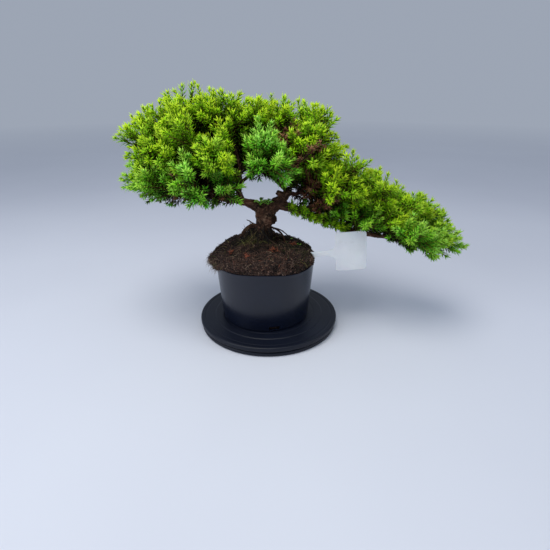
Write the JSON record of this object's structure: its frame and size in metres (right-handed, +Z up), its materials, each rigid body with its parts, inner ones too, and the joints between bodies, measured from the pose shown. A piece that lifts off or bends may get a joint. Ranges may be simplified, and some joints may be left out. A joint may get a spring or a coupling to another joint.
{
  "type": "japanese garden juniper bonsai in a nursery pot on a turntable",
  "caption": "Dwarf garden juniper trained as a slanting bonsai with a long low branch, in a round plastic nursery pot on a small turning stand, with a blank plant label.",
  "frame": {"origin": "centre of the turntable's underside, on its turning axis, at the surface it stands on", "axes": "+Z up along the turning axis, +X towards the tip of the long low branch, -Y towards the viewer"},
  "size_m": [0.4857, 0.2178, 0.3418],
  "materials": {
    "turntable_plastic": "satin",
    "bearing_plastic": "satin",
    "pot_plastic": "satin",
    "peat": "matte",
    "label_plastic": "satin",
    "bark": "matte",
    "needles_bright": "satin",
    "needles_green": "satin",
    "needles_deep": "satin",
    "needles_dry": "matte"
  },
  "bodies": {
    "base": {"turntable_base": "turntable_plastic", "bearing_ring": "bearing_plastic", "centre_pin": "bearing_plastic"},
    "turning": {"turntable_top": "turntable_plastic", "pot": "pot_plastic", "root_ball": "peat", "plant_label": "label_plastic", "trunk": "bark", "spray_01": "needles_bright", "spray_02": "needles_bright", "spray_03": "needles_bright", "spray_04": "needles_bright", "spray_05": "needles_bright", "spray_06": "needles_green", "spray_07": "needles_bright", "spray_08": "needles_bright", "spray_09": "needles_green", "spray_10": "needles_bright", "spray_11": "needles_green", "spray_12": "needles_bright", "dry_spray_13": "needles_dry", "spray_14": "needles_green", "spray_15": "needles_bright", "spray_16": "needles_green", "spray_17": "needles_green", "spray_18": "needles_green", "spray_19": "needles_deep", "spray_20": "needles_deep", "spray_21": "needles_bright", "spray_22": "needles_green", "spray_23": "needles_green", "spray_24": "needles_green", "spray_25": "needles_green", "spray_26": "needles_bright", "spray_27": "needles_bright", "spray_28": "needles_bright", "dry_spray_29": "needles_dry", "spray_30": "needles_bright", "spray_31": "needles_bright", "spray_32": "needles_bright", "spray_33": "needles_green", "spray_34": "needles_green", "spray_35": "needles_green", "spray_36": "needles_green", "spray_37": "needles_green", "spray_38": "needles_green", "spray_39": "needles_green", "dry_spray_40": "needles_dry", "spray_41": "needles_green", "spray_42": "needles_green", "spray_43": "needles_deep", "spray_44": "needles_deep", "dry_spray_45": "needles_dry", "spray_46": "needles_green", "spray_47": "needles_green", "spray_48": "needles_green", "spray_49": "needles_green", "spray_50": "needles_deep", "spray_51": "needles_deep", "spray_52": "needles_green"}
  },
  "joints": [
    {"name": "swivel", "type": "hinge", "parent": "base", "child": "turning", "pos_m": [0, 0, 0], "axis": [0, 0, 1], "continuous": true}
  ]
}
